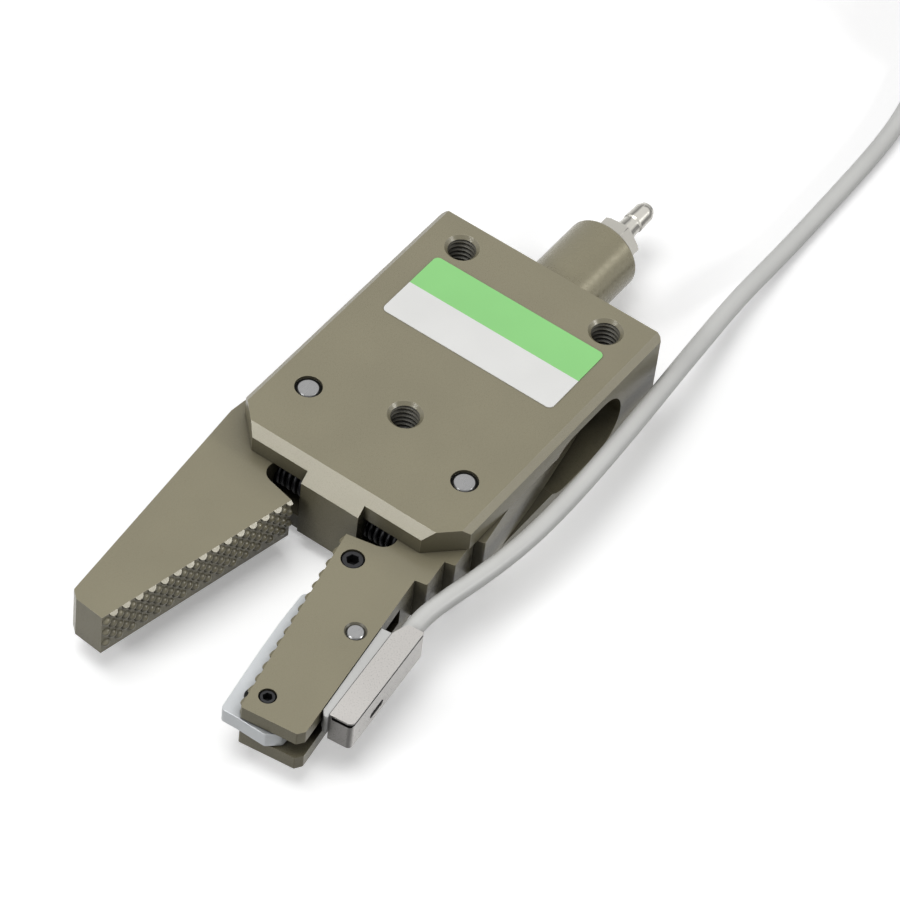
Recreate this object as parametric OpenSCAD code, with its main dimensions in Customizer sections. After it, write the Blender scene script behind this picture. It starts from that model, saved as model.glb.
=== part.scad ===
// Two finger angular air gripper with a part-sensing lever on one jaw.
// Frame: +Z up, origin at the centre of the body's bottom face, jaws point to -Y.
// Body-side modules count y from the front of the body's plates; at_body() moves them.
// Jaw-side modules are drawn with the jaws closed; on_jaw() swings them open.

/* [Body] */
// Width of the body, across the two jaws
body_width = 46; // [45.5:0.5:48]
// Length of the body's plates, front to back
body_length = 61.6; // [61.2:0.2:64]
// Height of the body
body_height = 18.8; // [18.6:0.1:19.6]
// Thickness of the plate above the jaws and of the plate below them
plate_thickness = 4.8; // [4.6:0.1:5]
// Edge chamfer along both sides
side_chamfer = 1.1; // [0.6:0.1:1.4]
// Length of the front bevel, measured along Y
bevel_run = 1.65; // [1:0.05:2]
// Height of the front bevel
bevel_drop = 1.7; // [1:0.05:2]
// Cut of the two front corners
corner_cut = 5.8; // [5:0.1:6.2]
// Cut of the two rear corners
rear_cut = 0.5; // [0.3:0.1:1]
// Width of the web between the two jaws
web_width = 11.6; // [11:0.1:12]
// How far the web stands in front of the plates
web_lead = 1.6; // [1.2:0.1:1.8]
// Rear end of the web, from the front of the plates
web_end = 24; // [23.4:0.1:24.2]
// Rear end of the jaw slot, from the front of the plates
slot_end = 48; // [47.8:0.1:48.6]
// Height of the rounded window through both sides
window_height = 12.5; // [11:0.1:12.6]
// Centre of the window's front arc, from the front of the plates
window_front = 35.5; // [34:0.1:37]
// Centre of the window's rear arc, from the front of the plates
window_rear = 44.3; // [43:0.1:44.4]

/* [Mounting holes] */
// Tapping diameter of the three through holes, M6 coarse
mount_hole = 5; // [4.8:0.1:5.2]
// Diameter of each hole's chamfered rim
mount_rim = 6.2; // [5.8:0.1:6.6]
// Place of the front hole, from the front of the plates
front_hole_y = 19; // [18:0.5:20]
// Distance between the two rear holes
rear_hole_pitch = 30; // [29:0.5:31]
// Place of the rear holes, from the front of the plates
rear_hole_y = 56; // [55.5:0.1:56.5]

/* [Pivots] */
// Distance between the two jaw pivots
pivot_pitch = 32; // [31.8:0.1:32.2]
// Place of the pivots, from the front of the plates
pivot_y = 13.6; // [13.4:0.1:13.8]
// Diameter of the pivot pins
pivot_pin_d = 4; // [3:0.5:4]
// How deep the pin ends lie under the plates' faces
pin_recess = 0.3; // [0.1:0.1:0.5]
// Diameter of the counterbore round each pin end
pin_ring_d = 4.8; // [4.6:0.1:5.2]
// Angle between a jaw's open and closed places
jaw_angle = 12; // [11.6:0.1:12]

/* [Jaws] */
// Gap between the tooth faces of the closed jaws
jaw_gap = 3; // [2.8:0.1:4]
// Tip of the jaws, from the front of the plates
jaw_reach = 41.7; // [41.4:0.1:44]
// Gap between the back of a closed jaw's head and the web
head_gap = 0.2; // [0.1:0.05:0.3]
// Inner face of a jaw's neck, from the middle of the body
neck_inside = 10; // [9.8:0.1:10.2]
// Fillet between the head's back and the neck
neck_fillet = 2.5; // [1.5:0.1:2.5]
// Width of the plain jaw's tip
plain_tip_width = 8; // [7:0.1:9]
// Width of the sensor jaw's tip
sensor_tip_width = 11.9; // [11.8:0.1:12.4]
// Clearance above and below the jaws
jaw_clearance = 0.1; // [0.05:0.05:0.2]
// Rear end of the jaw tails when closed
tail_end = 46; // [45:0.1:46.2]
// Diameter of the two cam pins in the tails
cam_pin_d = 5; // [4.8:0.1:5]
// Place of the cam pins when closed, from the front of the plates
cam_pin_y = 32; // [31.8:0.1:32.2]

/* [Grip pips] */
// Pitch of the pips along the jaw
pip_pitch = 2.66; // [2.6:0.02:3]
// Radius of each pip's dome
pip_ball = 0.9; // [0.8:0.05:1]
// How far the pips stand proud of the jaw's face
pip_height = 0.6; // [0.4:0.05:0.6]
// Rows of pips below the top edge, the first one included
pip_rows = 6; // [1:1:6]

/* [Sensing lever] */
// Height of the slot in the sensor jaw
fork_slot = 3.6; // [3.4:0.1:3.8]
// Thickness of the lever
lever_thickness = 3; // [2.9:0.1:3.2]
// How far the lever can be pushed in, in degrees
lever_angle = 8.5; // [5:0.5:8.5]
// Diameter of the lever's pin
lever_pin_d = 3; // [2.5:0.1:3]
// Diameter of the screw that stops the lever
stop_screw_d = 3; // [2.5:0.1:3]
// Diameter of the screw that clamps the lever's spring
clamp_screw_d = 4; // [3:0.5:4]
// Wire diameter of the lever's spring
lever_wire_d = 0.5; // [0.4:0.05:0.5]

/* [Sensor] */
// Width of the sensor's folded housing
sensor_width = 4.2; // [4:0.1:4.4]
// Length of the sensor's housing
sensor_length = 22.5; // [21.5:0.1:23]
// How far the sensor leans away from the jaw's side, in degrees
sensor_lean = 1.9; // [0:0.1:2.5]
// Height of the sensor's housing
sensor_height = 6.2; // [5.6:0.1:6.6]
// Thickness of the housing's sheet
sheet_thickness = 0.4; // [0.3:0.05:0.5]
// Thickness of the pad between the jaw and the housing
pad_thickness = 1.4; // [1.2:0.1:1.6]
// Diameter of the sensor's cable
cable_d = 3.3; // [3:0.1:3.3]
// Diameter of the cable's coil at the middle of its turns
coil_d = 38; // [36:1:40]

/* [Cylinder] */
// Outer diameter of the barrel
barrel_d = 14; // [13.6:0.1:14]
// Bore of the barrel
bore_d = 11; // [10.6:0.1:11.4]
// How far the barrel stands out behind the body
barrel_length = 17.4; // [17:0.1:20]
// How deep the barrel is screwed into the body
barrel_depth = 10.1; // [9.6:0.1:10.4]
// Thickness of the barrel's end wall
end_wall = 4; // [3.5:0.1:4.5]
// Diameter of the plunger's rod
rod_d = 9; // [8.8:0.1:9]
// Half angle of the plunger's nose
nose_angle = 25; // [24:0.5:26]
// Length of the piston
piston_length = 6; // [5:0.1:7]
// Tapping diameter of the air port, M5 coarse
port_d = 4.2; // [4:0.05:4.4]
// Hexagon of the hose fitting, across its flats
hex_width = 8; // [7:0.5:9]
// Largest diameter of the hose barb
barb_d = 4.1; // [3.9:0.1:4.4]
// Turn of the tightened hexagon round its axis
hex_turn = -6; // [-30:1:30]

/* [Label] */
// Length of the label, across the body
label_length = 35; // [30:0.5:36]
// Width of the label, along the body
label_width = 16; // [12:0.5:16]

/* [Hidden] */

$fn = 48;
cut = 0.5;              // overshoot of every cutting shape
running_fit = 0.04;     // radial clearance of a shaft that turns or slides
thread_fit = 0.02;      // radial clearance of a screwed-in piece
mid_z = body_height / 2;
anodised = [0.57, 0.55, 0.46];
bright_steel = [0.8, 0.8, 0.8];
black_steel = [0.12, 0.12, 0.13];

// Jaws
jaw_height = body_height - 2 * (plate_thickness + jaw_clearance);
jaw_bottom = plate_thickness + jaw_clearance;
face_x = jaw_gap / 2;
head_back = -(web_lead + head_gap);
pivot_x = pivot_pitch / 2;
pivot = [pivot_x, pivot_y];
cam_gap = 0.1;          // smallest gap between a cam pin and the rod
cam_pin_x = (rod_d + cam_pin_d) / 2 + cam_gap;
base_x = face_x + pip_height; // face that the pips stand on
plain_pip_y = -2.1;     // first top-row pip of the plain jaw
sensor_pip_y = -3;      // first top-row pip of the sensor jaw
tail_land = 5.9;        // inner edge of the tail beside the cam pin

// Sensor jaw: its side is a straight line with three steps behind it
side_front = [face_x + sensor_tip_width, -jaw_reach + 0.3];
side_back = [16, -5.5];
side_tilt = atan((side_back.x - side_front.x) / (side_back.y - side_front.y));
fork_back = -10;        // end of the fork slot
lever_pin_at = [11.9, -19.5];
stop_screw_at = [5, -37.8];
clamp_screw_at = [5.25, -6.1];
screw_sink = 0.2;       // how far the set screws lie under the jaw's top
lever_step = 1.2;       // depth of the milled step that holds the spring
spring_turns = 2;

// Sensor, in a frame that lies along the jaw's side
sensor_start = 5;
sensor_top = body_height - plate_thickness - 0.2;

// Cylinder
barrel_front = body_length - barrel_depth;
barrel_back = body_length + barrel_length;
bush_length = 4;
bore_back = barrel_back - end_wall;
piston_gap = 1;         // gap behind the piston with the jaws open
gasket_thickness = 0.6;
nose_tip_d = 1.6;

// Jaw springs
spring_d = 4.8;
spring_wire = 0.8;
spring_y = 3.2;
spring_seat = 1;        // depth of the seat in the web
spring_pocket = 1.6;    // depth of the pocket in the jaw's neck
spring_pocket_y = 4.2;  // the pocket turns with the jaw, so it lies behind the web's seat
spring_length = 8.4;
spring_coils = 6;

label_thickness = 0.12;
label_x = 0.4;
label_y = 43.5;

// Route of the cable: on the jaw, then beside the body and down to the floor
lead_route = [[24.7, -45.2, 10.8], [24.1, -41, 10.8], [24.3, -37.5, 10.8], [25, -33.5, 10.8],
    [25.9, -29.2, 10.8], [26.7, -25, 10.8], [27.3, -21, 10.8], [27.7, -17.2, 10.8]];
cable_route = [[27.7, -17.2, 10.8], [28.1, -13.4, 10.8], [28.2, -7, 10.8], [28.2, -1.5, 10.8],
    [27.8, 7.4, 10.8], [27.4, 14, 10.8], [26.8, 23.2, 10.7], [26, 30.2, 10.1],
    [25.2, 36.5, 9], [24.3, 43, 7.6], [23.5, 49.5, 6.5], [22.7, 56, 5.4], [22.2, 62, 4.4],
    [21.8, 68, 3.2], [21.4, 75, 2.1], [21.1, 83, 1.7], [20.9, 92, 1.7], [20.7, 101, 1.7],
    [20.4, 110, 1.7], [19.5, 119.5, 1.7], [17.2, 128.5, 1.7], [14.1, 137.5, 1.7],
    [12, 146.3, 1.7], [11.35, 155, 1.7]];
coil_at = [32, 155];
coil_rows = 4;
coil_layers = 2;
tie_width = 2.6;
tie_thickness = 1;
tie_angle = -35;
wire_end_angle = 205;
wire_length = 18;
wire_d = 1;
wire_spread = 4;        // angle between neighbouring wires

// Unit vector along v
function unit(v) = v / norm(v);

// v turned by a degrees about c
function turned(v, c, a) = c + [cos(a) * (v.x - c.x) - sin(a) * (v.y - c.y),
                                sin(a) * (v.x - c.x) + cos(a) * (v.y - c.y)];

// The points that round corner q between p and s with radius r
function corner(p, q, s, r, n = 6) =
    let (a = unit(p - q), b = unit(s - q), half = acos(a * b) / 2,
         c = q + unit(a + b) * r / sin(half),
         from = q + a * r / tan(half) - c, to = q + b * r / tan(half) - c,
         start = atan2(from.y, from.x), turn = atan2(from.x * to.y - from.y * to.x, from * to))
    [for (i = [0:n]) c + r * [cos(start + turn * i / n), sin(start + turn * i / n)]];

// A closed outline from [x, y, radius] points; no radius leaves a corner sharp
function rounded(pts) = [for (i = [0:len(pts) - 1])
    let (n = len(pts), p = pts[(i + n - 1) % n], q = pts[i], s = pts[(i + 1) % n])
    each (q[2] == 0 ? [[q.x, q.y]] :
        corner([p.x, p.y], [q.x, q.y], [s.x, s.y], q[2]))];

// Direction of a route at point i
function heading(route, i) = unit(route[min(i + 1, len(route) - 1)] - route[max(i - 1, 0)]);

// A ring of points round point i of a route
function ring(route, i, r, sides) =
    let (t = heading(route, i), side = unit(cross(t, [0, 0, 1])), up = cross(side, t))
    [for (k = [0:sides - 1]) route[i] + r * (cos(k * 360 / sides) * side + sin(k * 360 / sides) * up)];

// A round tube swept along a route
module tube(route, d, sides = 8) {
    n = len(route);
    points = [for (i = [0:n - 1]) each ring(route, i, d / 2, sides)];
    walls = [for (i = [0:n - 2], k = [0:sides - 1])
        let (a = i * sides + k, b = i * sides + (k + 1) % sides)
        each [[a, b, b + sides], [a, b + sides, a + sides]]];
    polyhedron(points = points, faces = concat(
        walls,
        [[for (k = [sides - 1:-1:0]) k]],
        [[for (k = [0:sides - 1]) (n - 1) * sides + k]]));
}

// Moves a body-side piece into the part's frame
module at_body() { translate([0, -body_length / 2, 0]) children(); }

// side is -1 for the left jaw and 1 for the right one
module on_jaw(side) {
    at_body() translate([side * pivot_x, pivot_y, 0]) rotate(side * jaw_angle)
        translate([-side * pivot_x, -pivot_y, 0]) mirror([side < 0 ? 1 : 0, 0, 0]) children();
}

// Lays a turned profile, drawn along +Y from y = 0, on the cylinder's axis
module turned_along_y(y) { translate([0, y, mid_z]) rotate([-90, 0, 0]) children(); }

// A straight round bar along Z with a chamfer at both ends
module pin(d, length, chamfer) {
    r = d / 2;
    rotate_extrude() polygon([[0, 0], [r - chamfer, 0], [r, chamfer],
        [r, length - chamfer], [r - chamfer, length], [0, length]]);
}

// ---- Body ----

module body_outline() {
    w = body_width / 2;
    n = web_width / 2;
    polygon([[-w, corner_cut], [-w + corner_cut, 0], [-n, 0], [-n, -web_lead],
        [n, -web_lead], [n, 0], [w - corner_cut, 0], [w, corner_cut],
        [w, body_length - rear_cut], [w - rear_cut, body_length],
        [-w + rear_cut, body_length], [-w, body_length - rear_cut]]);
}

module body_bevels() {
    slope = bevel_drop / bevel_run;
    low = bevel_drop + web_lead * slope;
    rotate([90, 0, 90]) linear_extrude(body_width + 2 * cut, center = true)
        polygon([[-web_lead, low], [bevel_run, 0], [body_length + cut, 0],
            [body_length + cut, body_height], [bevel_run, body_height],
            [-web_lead, body_height - low]]);
}

module body_side_chamfers() {
    w = body_width / 2;
    c = side_chamfer;
    translate([0, body_length + cut, 0]) rotate([90, 0, 0])
        linear_extrude(body_length + web_lead + 2 * cut)
        polygon([[-w + c, 0], [w - c, 0], [w, c], [w, body_height - c],
            [w - c, body_height], [-w + c, body_height], [-w, body_height - c], [-w, c]]);
}

module mount_hole_at(x, y) {
    rim_depth = (mount_rim - mount_hole) / 2;
    translate([x, y, -cut]) cylinder(d = mount_hole, h = body_height + 2 * cut);
    for (z = [0, body_height]) translate([x, y, z])
        rotate([z == 0 ? 0 : 180, 0, 0])
            translate([0, 0, -cut]) cylinder(r1 = mount_rim / 2 + cut, r2 = mount_hole / 2,
                h = rim_depth + cut);
}

module pivot_pin_hole(side) {
    translate([side * pivot_x, pivot_y, -cut])
        cylinder(d = pivot_pin_d + 2 * thread_fit, h = body_height + 2 * cut);
    for (z = [-cut, body_height - pin_recess - 0.3])
        translate([side * pivot_x, pivot_y, z])
            cylinder(d = pin_ring_d, h = pin_recess + 0.3 + cut);
}

// The space between the plates, with the web left standing
module jaw_slot() {
    slot_height = body_height - 2 * plate_thickness;
    difference() {
        translate([-body_width, -web_lead - cut, plate_thickness])
            cube([2 * body_width, slot_end + web_lead + cut, slot_height]);
        translate([-web_width / 2, -web_lead - 2 * cut, 0])
            cube([web_width, web_end + web_lead + 2 * cut, body_height]);
    }
}

module side_window() {
    translate([-body_width, 0, mid_z]) rotate([90, 0, 90]) {
        for (y = [window_front, window_rear])
            translate([y, 0, 0]) cylinder(d = window_height, h = 2 * body_width);
        translate([window_front, -window_height / 2, 0])
            cube([window_rear - window_front, window_height, 2 * body_width]);
    }
}

module body() {
    color(anodised) at_body() difference() {
        intersection() {
            linear_extrude(body_height) body_outline();
            body_bevels();
            body_side_chamfers();
        }
        jaw_slot();
        side_window();
        mount_hole_at(0, front_hole_y);
        for (side = [-1, 1]) {
            mount_hole_at(side * rear_hole_pitch / 2, rear_hole_y);
            pivot_pin_hole(side);
            translate([side * (web_width / 2 - spring_seat), spring_y, mid_z])
                rotate([0, side * 90, 0]) cylinder(d = spring_d + 0.4, h = spring_seat + cut);
        }
        turned_along_y(slot_end - cut) cylinder(d = rod_d + 0.6, h = barrel_front - slot_end + 2 * cut);
        turned_along_y(barrel_front) cylinder(d = barrel_d + 2 * thread_fit, h = barrel_depth + cut);
    }
}

module label() {
    w = label_length / 2;
    h = label_width / 2;
    color([0.62, 0.86, 0.56]) at_body() translate([label_x, label_y, body_height])
        linear_extrude(label_thickness)
            polygon(rounded([[-w, -h, 1], [w, -h, 1], [w, h, 1], [-w, h, 1]]));
}

module pivot_pin(side) {
    color(bright_steel) at_body() translate([side * pivot_x, pivot_y, pin_recess])
        pin(pivot_pin_d, body_height - 2 * pin_recess, 0.25);
}

// ---- Cylinder ----

module cylinder_barrel() {
    length = barrel_back - barrel_front;
    r = barrel_d / 2;
    c = 0.4;
    color(anodised) at_body() turned_along_y(barrel_front) rotate_extrude()
        polygon([[bore_d / 2, 0], [r - c, 0], [r, c], [r, length - c], [r - c, length],
            [port_d / 2, length], [port_d / 2, length - end_wall], [bore_d / 2, length - end_wall]]);
}

module rod_bush() {
    color([0.72, 0.58, 0.32]) at_body() turned_along_y(barrel_front) rotate_extrude()
        polygon([[rod_d / 2 + running_fit, 0], [bore_d / 2, 0], [bore_d / 2, bush_length],
            [rod_d / 2 + running_fit, bush_length]]);
}

// The nose cone just clears the two open cam pins
nose_apex = let (open_pin = turned([cam_pin_x, cam_pin_y], pivot, jaw_angle))
    open_pin.y - (open_pin.x * cos(nose_angle) - cam_pin_d / 2 - cam_gap) / sin(nose_angle);
piston_back = bore_back - piston_gap;
spigot_d = 5;

module plunger() {
    tip_y = nose_apex + nose_tip_d / 2 / tan(nose_angle);
    cone = (rod_d - nose_tip_d) / 2 / tan(nose_angle);
    shoulder = piston_back - piston_length - tip_y;
    color(bright_steel) at_body() turned_along_y(tip_y) rotate_extrude()
        polygon([[0, 0], [nose_tip_d / 2, 0], [rod_d / 2, cone], [rod_d / 2, shoulder],
            [spigot_d / 2, shoulder], [spigot_d / 2, shoulder + piston_length],
            [0, shoulder + piston_length]]);
}

seal_width = 1.8;
seal_depth = 1.3;

module piston() {
    r = bore_d / 2 - running_fit;
    front = (piston_length - seal_width) / 2;
    color([0.75, 0.75, 0.76]) at_body() turned_along_y(piston_back - piston_length) rotate_extrude()
        polygon([[spigot_d / 2, 0], [r, 0], [r, front], [r - seal_depth, front],
            [r - seal_depth, front + seal_width], [r, front + seal_width],
            [r, piston_length], [spigot_d / 2, piston_length]]);
}

module piston_seal() {
    r = bore_d / 2 - running_fit;
    front = (piston_length - seal_width) / 2;
    lip = 0.3;
    color(black_steel) at_body() turned_along_y(piston_back - piston_length + front) rotate_extrude()
        polygon([[r - seal_depth, 0], [r - lip, 0], [r, lip], [r, seal_width - lip],
            [r - lip, seal_width], [r - seal_depth, seal_width]]);
}

module fitting_gasket() {
    color([0.85, 0.85, 0.83]) at_body() turned_along_y(barrel_back) difference() {
        cylinder(d = hex_width - 0.3, h = gasket_thickness);
        translate([0, 0, -cut]) cylinder(d = port_d, h = gasket_thickness + 2 * cut);
    }
}

// Hexagon, stub and a two-step hose barb, bored right through
module barb_fitting() {
    hex_length = 3.8;
    stub = end_wall + gasket_thickness;
    base = stub + hex_length;
    bore = 0.95;
    barb_length = 9.3;
    corner_r = hex_width / cos(30) / 2;
    barb_r = barb_d / 2;
    neck_r = barb_r - 0.3;
    tip_r = barb_r - 0.1;
    color(bright_steel) at_body() turned_along_y(barrel_back - end_wall) difference() {
        union() {
            rotate_extrude() polygon([[0, 0], [port_d / 2 - thread_fit, 0],
                [port_d / 2 - thread_fit, stub + cut], [0, stub + cut]]);
            intersection() {
                translate([0, 0, stub]) rotate(hex_turn) cylinder(r = corner_r, h = hex_length, $fn = 6);
                rotate_extrude() polygon([[0, stub], [corner_r, stub], [corner_r, base - 0.3],
                    [hex_width / 2 + 0.2, base], [0, base]]);
            }
            rotate_extrude() polygon([[0, base - cut], [neck_r, base - cut], [neck_r, base + 0.5],
                [barb_r, base + 0.6], [barb_r, base + 1], [neck_r, base + 4.1], [neck_r, base + 4.4],
                [tip_r, base + 4.6], [tip_r, base + 5.1], [tip_r - 0.1, base + 8.2],
                [tip_r - 0.55, base + barb_length], [0, base + barb_length]]);
        }
        translate([0, 0, -cut]) cylinder(r = bore, h = base + barb_length + 2 * cut);
    }
}

// ---- Jaws ----

// Outline that both jaws share behind their heads, from the neck's outer side
// round the tail to the head's back, counter-clockwise
tail_points = [[23.5, 15.2, 0], [24.4, 24.7, 0], [24.7, 30.5, 0], [25.1, 40, 2], [25.2, tail_end, 1.5],
    [rod_d / 2 + cam_pin_d + 2.2, tail_end, 1], [8.9, 35.5, 0], [tail_land, 34.5, 0.6],
    [tail_land, 29.2, 0.6], [neck_inside, 27, 1], [neck_inside, head_back, neck_fillet],
    [base_x, head_back, 0]];

module plain_outline() {
    tip = face_x + plain_tip_width;
    polygon(rounded(concat([[base_x, -jaw_reach, 0], [tip - 1.8, -jaw_reach - 0.7, 0],
        [tip, -jaw_reach + 0.3, 0], [23, 3, 0], [23.3, 5.9, 0]], tail_points)));
}

module sensor_outline() {
    polygon(rounded(concat([[base_x, -jaw_reach, 0.4],
        [side_front.x - 1.1, -jaw_reach - 0.8, 0.3], [side_front.x, side_front.y, 0.3],
        [side_back.x, side_back.y, 0], [18.2, -5.5, 0.4], [18.7, 0.3, 0], [20.6, 0.3, 0.4],
        [21.1, 6.9, 0], [23.05, 6.9, 0.4]], tail_points)));
}

// Domed pips in staggered rows; the jaw's top edge chamfer cuts the first row to half discs
module grip_pips(first_y) {
    behind = pip_ball - pip_height;
    top = jaw_bottom + jaw_height;
    intersection() {
        for (row = [0:pip_rows - 1],
                y = [first_y - row % 2 * pip_pitch / 2:-pip_pitch:pip_ball - jaw_reach])
            translate([base_x + behind, y, top - behind - row * pip_pitch / 2])
                rotate([0, 90, 0]) sphere(r = pip_ball, $fn = 32);
        translate([0, head_back, 0]) rotate([90, 0, 0]) linear_extrude(jaw_reach)
            polygon([[base_x + behind, jaw_bottom], [face_x - pip_height, jaw_bottom],
                [face_x - pip_height, top - 2 * pip_height], [base_x, top], [base_x + behind, top]]);
    }
}

module jaw_blank() {
    difference() {
        translate([0, 0, jaw_bottom]) linear_extrude(jaw_height) children();
        translate([pivot.x, pivot.y, 0])
            cylinder(d = pivot_pin_d + 2 * running_fit, h = body_height);
        translate([cam_pin_x, cam_pin_y, 0]) cylinder(d = cam_pin_d, h = body_height);
        translate([neck_inside - cut, spring_pocket_y, mid_z]) rotate([0, 90, 0])
            cylinder(d = spring_d + 1, h = spring_pocket + cut);
    }
}

module left_jaw() {
    color(anodised) on_jaw(-1) {
        jaw_blank() plain_outline();
        grip_pips(plain_pip_y);
    }
}

module right_jaw() {
    color(anodised) on_jaw(1) difference() {
        union() {
            jaw_blank() sensor_outline();
            grip_pips(sensor_pip_y);
        }
        translate([-cut, -jaw_reach - 2, mid_z - fork_slot / 2])
            cube([pivot_x + 2, jaw_reach + 2 + fork_back, fork_slot]);
        translate([lever_pin_at.x, lever_pin_at.y, 0]) cylinder(d = lever_pin_d, h = body_height);
        translate([lever_pin_at.x, lever_pin_at.y, jaw_bottom + jaw_height - 0.4])
            cylinder(r1 = lever_pin_d / 2, r2 = lever_pin_d / 2 + 0.5, h = 0.5);
        translate([stop_screw_at.x, stop_screw_at.y, 0])
            cylinder(d = stop_screw_d + 2 * thread_fit, h = body_height);
        translate([clamp_screw_at.x, clamp_screw_at.y, spring_leg_z - lever_wire_d])
            cylinder(d = clamp_screw_d + 2 * thread_fit, h = body_height);
        spring_leg(lever_wire_d + 0.2, 0.4);
    }
}

module cam_pin(side) {
    color(bright_steel) on_jaw(side) translate([cam_pin_x, cam_pin_y, jaw_bottom + 0.1])
        pin(cam_pin_d, jaw_height - 0.2, 0.3);
}

// Compression spring between the web and a jaw's neck, as a ribbed sleeve
module jaw_spring(side) {
    from = web_width / 2 - spring_seat;
    pitch = spring_length / spring_coils;
    r = spring_d / 2;
    color(black_steel) at_body() translate([side * from, spring_y, mid_z])
        rotate([0, side * 90, 0]) rotate_extrude()
            polygon(concat([[r - spring_wire, spring_length], [r - spring_wire, 0]],
                [for (i = [0:spring_coils - 1]) each [[r - 0.35, i * pitch],
                    [r, (i + 0.3) * pitch], [r, (i + 0.6) * pitch]]], [[r - 0.35, spring_length]]));
}

// ---- Sensing lever ----

lever_bottom = mid_z - lever_thickness / 2;
lever_top = mid_z + lever_thickness / 2;
coil_bottom = lever_top - lever_step + 0.05;
coil_r = lever_pin_d / 2 + 0.1 + lever_wire_d / 2;
spring_leg_z = coil_bottom + (spring_turns - 0.5) * lever_wire_d;

// Point where the spring's long leg leaves its coil, on the way to the clamp screw
spring_leg_start = let (d = clamp_screw_at - lever_pin_at,
    a = atan2(d.y, d.x) + acos(coil_r / norm(d))) lever_pin_at + coil_r * [cos(a), sin(a)];

module spring_leg(d, past) {
    v = clamp_screw_at - spring_leg_start;
    translate([spring_leg_start.x, spring_leg_start.y, spring_leg_z])
        rotate([0, 90, atan2(v.y, v.x)]) cylinder(d = d, h = norm(v) + past, $fn = 24);
}

// Torsion spring round the lever's pin; its long leg lies under the clamp screw
module lever_spring() {
    hook_angle = 230;
    hook_r = 3.6;
    hook = hook_r * [cos(hook_angle), sin(hook_angle)];
    color(bright_steel) on_jaw(1) {
        translate([lever_pin_at.x, lever_pin_at.y, coil_bottom]) {
            for (i = [0:spring_turns - 1]) translate([0, 0, (i + 0.5) * lever_wire_d])
                rotate_extrude() translate([coil_r, 0]) circle(d = lever_wire_d * 1.04, $fn = 16);
            translate([0, 0, lever_wire_d / 2]) rotate([0, 90, hook_angle])
                translate([0, 0, coil_r]) cylinder(d = lever_wire_d, h = hook_r - coil_r, $fn = 24);
            translate([hook.x, hook.y, -0.9]) cylinder(d = lever_wire_d, h = 0.9 + lever_wire_d, $fn = 24);
        }
        spring_leg(lever_wire_d, 0);
    }
}

lever_outline = [[-1.4, -41.3, 0.8], [1.6, -41.7, 0], [7.1, -42.8, 0.6], [9.6, -41.3, 0.6],
    [10.2, -38, 0], [11.2, -25.5, 3], [14.1, -22.5, 1.5], [14.1, -17.2, 2.2], [9, -15.8, 2],
    [0.3, -13.4, 1.2], [-0.5, -21.2, 4], [-0.9, -27.9, 0]];

// Curved slot that the stop screw passes through, as wide as the lever's travel
module stop_slot() {
    v = stop_screw_at - lever_pin_at;
    r = norm(v);
    a = atan2(v.y, v.x);
    w = stop_screw_d + 0.4;
    translate([lever_pin_at.x, lever_pin_at.y, lever_bottom - cut]) {
        rotate(a - lever_angle) rotate_extrude(angle = lever_angle)
            translate([r - w / 2, 0]) square([w, lever_thickness + 2 * cut]);
        for (end = [a, a - lever_angle]) rotate(end) translate([r, 0, 0])
            cylinder(d = w, h = lever_thickness + 2 * cut);
    }
}

module sensing_lever() {
    hook_angle = 230;
    color([0.92, 0.92, 0.93]) on_jaw(1) difference() {
        translate([0, 0, lever_bottom]) linear_extrude(lever_thickness) polygon(rounded(lever_outline));
        translate([lever_pin_at.x, lever_pin_at.y, 0])
            cylinder(d = lever_pin_d + 2 * running_fit, h = body_height);
        translate([7, -24.5, lever_top - lever_step]) cube([12, 14, lever_step + cut]);
        translate([lever_pin_at.x + 3.6 * cos(hook_angle), lever_pin_at.y + 3.6 * sin(hook_angle), 0])
            cylinder(d = lever_wire_d + 0.2, h = body_height, $fn = 24);
        stop_slot();
    }
}

module lever_pin() {
    color([0.9, 0.9, 0.9]) on_jaw(1) translate([lever_pin_at.x, lever_pin_at.y, jaw_bottom + 0.1])
        pin(lever_pin_d, jaw_height - 0.2, 0.2);
}

// Set screw with a hexagon socket, its top just under the jaw's face
module set_screw(d, length) {
    socket = d / 2;
    difference() {
        pin(d, length, 0.3);
        translate([0, 0, length - socket]) cylinder(d = socket / cos(30), h = socket + cut, $fn = 6);
    }
}

module lever_stop_screw() {
    length = jaw_height - 2 * screw_sink;
    color(black_steel) on_jaw(1)
        translate([stop_screw_at.x, stop_screw_at.y, jaw_bottom + screw_sink])
            set_screw(stop_screw_d, length);
}

module spring_clamp_screw() {
    top = jaw_bottom + jaw_height - screw_sink;
    bottom = spring_leg_z + lever_wire_d / 2 + 0.02;
    color(black_steel) on_jaw(1) translate([clamp_screw_at.x, clamp_screw_at.y, bottom])
        set_screw(clamp_screw_d, top - bottom);
}

// ---- Sensor ----

// Lays a piece along the sensor jaw's side: x is the distance off the side, y runs backwards
module along_side() {
    on_jaw(1) translate([side_front.x, side_front.y, 0]) rotate(-side_tilt) children();
}

// Leans a piece of the sensor away from the jaw's side, about the pad's front corner
module leaning() {
    along_side() translate([pad_thickness, sensor_start, 0]) rotate(-sensor_lean)
        translate([-pad_thickness, -sensor_start, 0]) children();
}

// Wedge between the jaw's flat side and the leaning housing
module sensor_pad() {
    height = 4.2;
    length = 20.3;
    lead = 0.6;
    slope = tan(sensor_lean);
    color([0.93, 0.93, 0.92]) along_side() translate([0, sensor_start - lead, sensor_top - 0.1 - height])
        linear_extrude(height) polygon(rounded([[0, 1, 0], [0.7, 0, 0.5],
            [pad_thickness - lead * slope, 0, 0],
            [pad_thickness + (length - lead) * slope, length, 0], [0, length, 0]]));
}

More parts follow.
